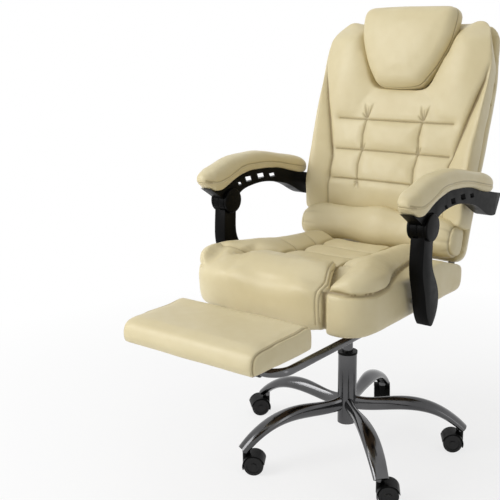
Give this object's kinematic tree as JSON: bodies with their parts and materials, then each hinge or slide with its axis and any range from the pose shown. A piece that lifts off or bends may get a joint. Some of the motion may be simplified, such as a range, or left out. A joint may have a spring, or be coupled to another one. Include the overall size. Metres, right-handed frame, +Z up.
{
  "type": "office chair",
  "caption": "Padded office armchair on a five-legged swivel base, with height lift, reclining back with linked arms and a footrest that slides out and turns over.",
  "frame": {"origin": "on the floor under the middle of the column", "axes": "+Z up, -Y the way the sitter faces, +X the sitter's left"},
  "size_m": [0.6594, 1.0025, 1.1502],
  "materials": {
    "cream_leather": "soft satin",
    "black_plastic": "moulded satin",
    "bright_steel": "bright plated",
    "black_steel": "powder coated",
    "plain_steel": "plain steel",
    "plywood": "unfinished plywood",
    "wheel_plastic": "moulded"
  },
  "bodies": {
    "base": {"column_tube": "bright_steel", "column_bush": "black_plastic", "thrust_bearing": "plain_steel", "leg_1": "bright_steel", "leg_2": "bright_steel", "leg_3": "bright_steel", "leg_4": "bright_steel", "leg_5": "bright_steel"},
    "lift_rod": {"piston_rod": "plain_steel", "rod_clip": "plain_steel"},
    "seat": {"gas_cylinder": "bright_steel", "mechanism": "black_steel", "seat_board": "plywood", "seat_base_pad": "cream_leather", "seat_middle_cushion": "cream_leather", "seat_bolster_left": "cream_leather", "seat_bolster_right": "cream_leather", "footrest_guides": "black_steel", "recline_brackets": "black_steel", "recline_pins": "plain_steel", "post_brackets": "black_steel", "post_pins": "plain_steel", "seat_bolts": "plain_steel"},
    "height_lever": {"height_lever": "black_steel"},
    "footrest_frame": {"footrest_tube": "bright_steel"},
    "footrest": {"footrest_clips": "black_steel", "footrest_board": "plywood", "footrest_pad": "cream_leather"},
    "backrest": {"back_board": "plywood", "back_rear_pad": "cream_leather", "back_front_pad": "cream_leather", "lumbar_roll": "cream_leather", "head_pillow": "cream_leather", "back_brackets": "black_steel", "arm_pins": "plain_steel"},
    "release_lever": {"release_lever": "black_plastic"},
    "caster_1": {"caster_housing_1": "black_plastic", "caster_pins_1": "plain_steel"},
    "wheels_1": {"caster_wheels_1": "wheel_plastic"},
    "caster_2": {"caster_housing_2": "black_plastic", "caster_pins_2": "plain_steel"},
    "wheels_2": {"caster_wheels_2": "wheel_plastic"},
    "caster_3": {"caster_housing_3": "black_plastic", "caster_pins_3": "plain_steel"},
    "wheels_3": {"caster_wheels_3": "wheel_plastic"},
    "caster_4": {"caster_housing_4": "black_plastic", "caster_pins_4": "plain_steel"},
    "wheels_4": {"caster_wheels_4": "wheel_plastic"},
    "caster_5": {"caster_housing_5": "black_plastic", "caster_pins_5": "plain_steel"},
    "wheels_5": {"caster_wheels_5": "wheel_plastic"},
    "arm_left": {"upper_arm_left": "black_plastic", "arm_pad_left": "cream_leather"},
    "post_left": {"arm_post_left": "black_plastic", "elbow_pin_left": "black_plastic"},
    "arm_right": {"upper_arm_right": "black_plastic", "arm_pad_right": "cream_leather"},
    "post_right": {"arm_post_right": "black_plastic", "elbow_pin_right": "black_plastic"}
  },
  "joints": [
    {"name": "caster_swivel_1", "type": "hinge", "parent": "base", "child": "caster_1", "pos_m": [-0.12482, -0.2739, 0.06], "axis": [0, 0, 1], "continuous": true},
    {"name": "wheel_roll_1", "type": "hinge", "parent": "caster_1", "child": "wheels_1", "pos_m": [-0.10786, -0.2633, 0.025], "axis": [-0.5299, 0.848, 0], "continuous": true},
    {"name": "caster_swivel_2", "type": "hinge", "parent": "base", "child": "caster_2", "pos_m": [0.22192, -0.20335, 0.06], "axis": [0, 0, 1], "continuous": true},
    {"name": "wheel_roll_2", "type": "hinge", "parent": "caster_2", "child": "wheels_2", "pos_m": [0.23888, -0.19275, 0.025], "axis": [-0.5299, 0.848, 0], "continuous": true},
    {"name": "caster_swivel_3", "type": "hinge", "parent": "base", "child": "caster_3", "pos_m": [0.26198, 0.14822, 0.06], "axis": [0, 0, 1], "continuous": true},
    {"name": "wheel_roll_3", "type": "hinge", "parent": "caster_3", "child": "wheels_3", "pos_m": [0.24502, 0.13762, 0.025], "axis": [0.5299, -0.848, 0], "continuous": true},
    {"name": "caster_swivel_4", "type": "hinge", "parent": "base", "child": "caster_4", "pos_m": [-0.06001, 0.29496, 0.06], "axis": [0, 0, 1], "continuous": true},
    {"name": "wheel_roll_4", "type": "hinge", "parent": "caster_4", "child": "wheels_4", "pos_m": [-0.07061, 0.31192, 0.025], "axis": [-0.848, -0.5299, 0], "continuous": true},
    {"name": "caster_swivel_5", "type": "hinge", "parent": "base", "child": "caster_5", "pos_m": [-0.29907, 0.03407, 0.06], "axis": [0, 0, 1], "continuous": true},
    {"name": "wheel_roll_5", "type": "hinge", "parent": "caster_5", "child": "wheels_5", "pos_m": [-0.31245, 0.01921, 0.025], "axis": [0.7431, -0.6691, 0], "continuous": true},
    {"name": "seat_swivel", "type": "hinge", "parent": "base", "child": "lift_rod", "pos_m": [0, 0, 0.08], "axis": [0, 0, 1], "continuous": true},
    {"name": "seat_lift", "type": "slide", "parent": "lift_rod", "child": "seat", "axis": [0, 0, 1], "range_m": [-0.1, 0]},
    {"name": "height_lever", "type": "hinge", "parent": "seat", "child": "height_lever", "pos_m": [-0.041, 0.02, 0.432], "axis": [0, 1, 0], "range_deg": [0, 4], "stiffness_Nm_per_rad": 3, "springref_deg": -11.46},
    {"name": "recline", "type": "hinge", "parent": "seat", "child": "backrest", "pos_m": [0, 0.188, 0.474], "axis": [-1, 0, 0], "range_deg": [0, 37]},
    {"name": "release_lever", "type": "hinge", "parent": "backrest", "child": "release_lever", "pos_m": [-0.2075, 0.188, 0.474], "axis": [1, 0, 0], "range_deg": [0, 12], "stiffness_Nm_per_rad": 0.6, "springref_deg": -14.32},
    {"name": "footrest_slide", "type": "slide", "parent": "seat", "child": "footrest_frame", "axis": [0, 1, 0], "range_m": [0, 0.28]},
    {"name": "footrest_flip", "type": "hinge", "parent": "footrest_frame", "child": "footrest", "pos_m": [0, -0.524, 0.412], "axis": [1, 0, 0], "range_deg": [0, 180]},
    {"name": "post_left", "type": "hinge", "parent": "seat", "child": "post_left", "pos_m": [0.282, -0.122, 0.481], "axis": [-1, 0, 0], "range_deg": [0, 35]},
    {"name": "arm_left", "type": "hinge", "parent": "backrest", "child": "arm_left", "pos_m": [0.282, 0.213, 0.657], "axis": [1, 0, 0], "range_deg": [0, 31.8]},
    {"name": "post_right", "type": "hinge", "parent": "seat", "child": "post_right", "pos_m": [-0.282, -0.122, 0.481], "axis": [-1, 0, 0], "range_deg": [0, 35]},
    {"name": "arm_right", "type": "hinge", "parent": "backrest", "child": "arm_right", "pos_m": [-0.282, 0.213, 0.657], "axis": [1, 0, 0], "range_deg": [0, 31.8]}
  ],
  "couplings": [
    {"joint": "footrest_flip", "follows": "footrest_slide", "rad_per_m": 11.22},
    {"joint": "post_left", "follows": "recline", "ratio": 0.9453},
    {"joint": "arm_left", "follows": "recline", "ratio": 0.8566},
    {"joint": "post_right", "follows": "recline", "ratio": 0.9453},
    {"joint": "arm_right", "follows": "recline", "ratio": 0.8566}
  ]
}
